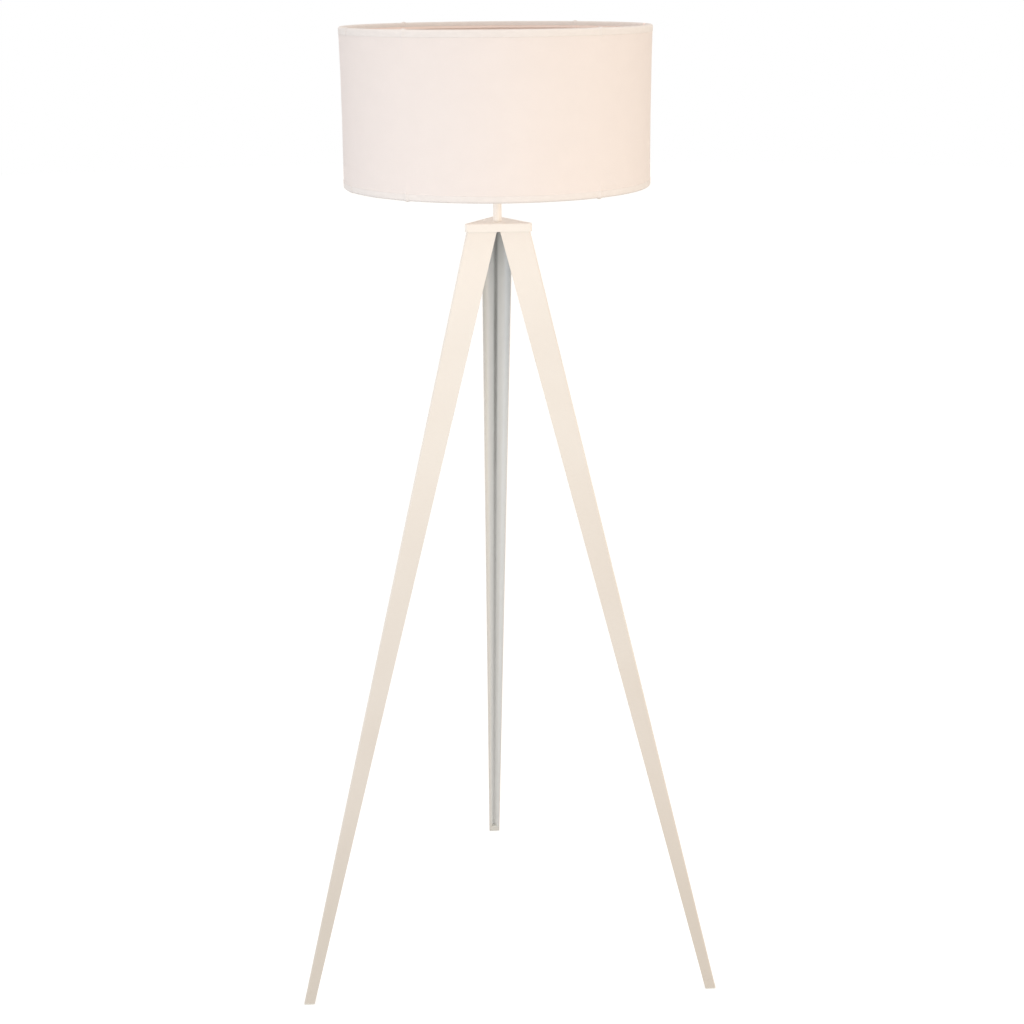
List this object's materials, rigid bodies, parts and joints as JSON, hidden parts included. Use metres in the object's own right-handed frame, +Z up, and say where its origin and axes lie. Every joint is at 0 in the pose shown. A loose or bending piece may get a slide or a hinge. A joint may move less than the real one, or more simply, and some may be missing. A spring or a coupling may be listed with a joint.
{
  "type": "tripod floor lamp",
  "caption": "Floor lamp on three folded sheet-steel legs under a triangular cap, with a short pole, a lampholder and a fabric drum shade.",
  "frame": {"origin": "on the pole's axis at floor level", "axes": "+Z up the pole; -Y the front, the flat side of the cap; the third leg points to +Y"},
  "size_m": [0.7282, 0.6706, 1.6474],
  "materials": {
    "painted_steel": "satin powder coat, warm white",
    "foot_plastic": "moulded, off-white",
    "zinc": "zinc plated",
    "bush_plastic": "black nylon",
    "holder_plastic": "moulded thermoplastic, white",
    "core_ceramic": "unglazed",
    "contact_brass": "rolled",
    "shade_cloth": "plain-weave cotton on a clear lining",
    "hem_tape": "woven tape",
    "frame_wire": "white coated wire",
    "bulb_frosted": "etched inside, frosted",
    "bulb_aluminium": "rolled thread",
    "black_glass": "glazed",
    "solder": "tinned",
    "clear_glass": "clear",
    "tungsten": "bare wire"
  },
  "bodies": {
    "stand": {"leg_left": "painted_steel", "leg_right": "painted_steel", "leg_back": "painted_steel", "foot_left": "foot_plastic", "foot_right": "foot_plastic", "foot_back": "foot_plastic", "cap": "painted_steel", "leg_washers": "zinc", "leg_nuts": "zinc", "lower_nipple": "zinc", "cap_washer": "zinc", "cap_nut": "zinc", "cord_bush": "bush_plastic", "pole": "painted_steel", "upper_nipple": "zinc", "holder_dome": "holder_plastic", "holder_skirt": "holder_plastic", "holder_core": "core_ceramic", "holder_shell": "contact_brass", "holder_contact": "contact_brass", "holder_terminals": "zinc"},
    "shade": {"shade_fabric": "shade_cloth", "shade_top_hem": "hem_tape", "shade_bottom_hem": "hem_tape", "shade_top_ring": "frame_wire", "shade_bottom_ring": "frame_wire", "shade_spokes": "frame_wire", "shade_fitter": "frame_wire", "shade_rods": "frame_wire"},
    "ring_nut": {"shade_ring_nut": "holder_plastic"},
    "bulb_thread": {"bulb_tip": "solder", "bulb_insulator": "black_glass"},
    "bulb": {"bulb_glass": "bulb_frosted", "bulb_cap": "bulb_aluminium", "bulb_stem": "clear_glass", "bulb_filament": "tungsten"}
  },
  "joints": [
    {"name": "shade_turn", "type": "hinge", "parent": "stand", "child": "shade", "pos_m": [0, 0, 1.449], "axis": [0, 0, 1], "continuous": true},
    {"name": "ring_nut_turn", "type": "hinge", "parent": "stand", "child": "ring_nut", "pos_m": [0, 0, 1.4535], "axis": [0, 0, 1], "range_deg": [0, 1080]},
    {"name": "bulb_climb", "type": "slide", "parent": "stand", "child": "bulb_thread", "axis": [0, 0, 1], "range_m": [0, 0.00905]},
    {"name": "bulb_turn", "type": "hinge", "parent": "bulb_thread", "child": "bulb", "pos_m": [0, 0, 1.46], "axis": [0, 0, 1], "range_deg": [0, 900]}
  ],
  "couplings": [
    {"joint": "bulb_climb", "follows": "bulb_turn", "m_per_rad": 0.000573}
  ]
}
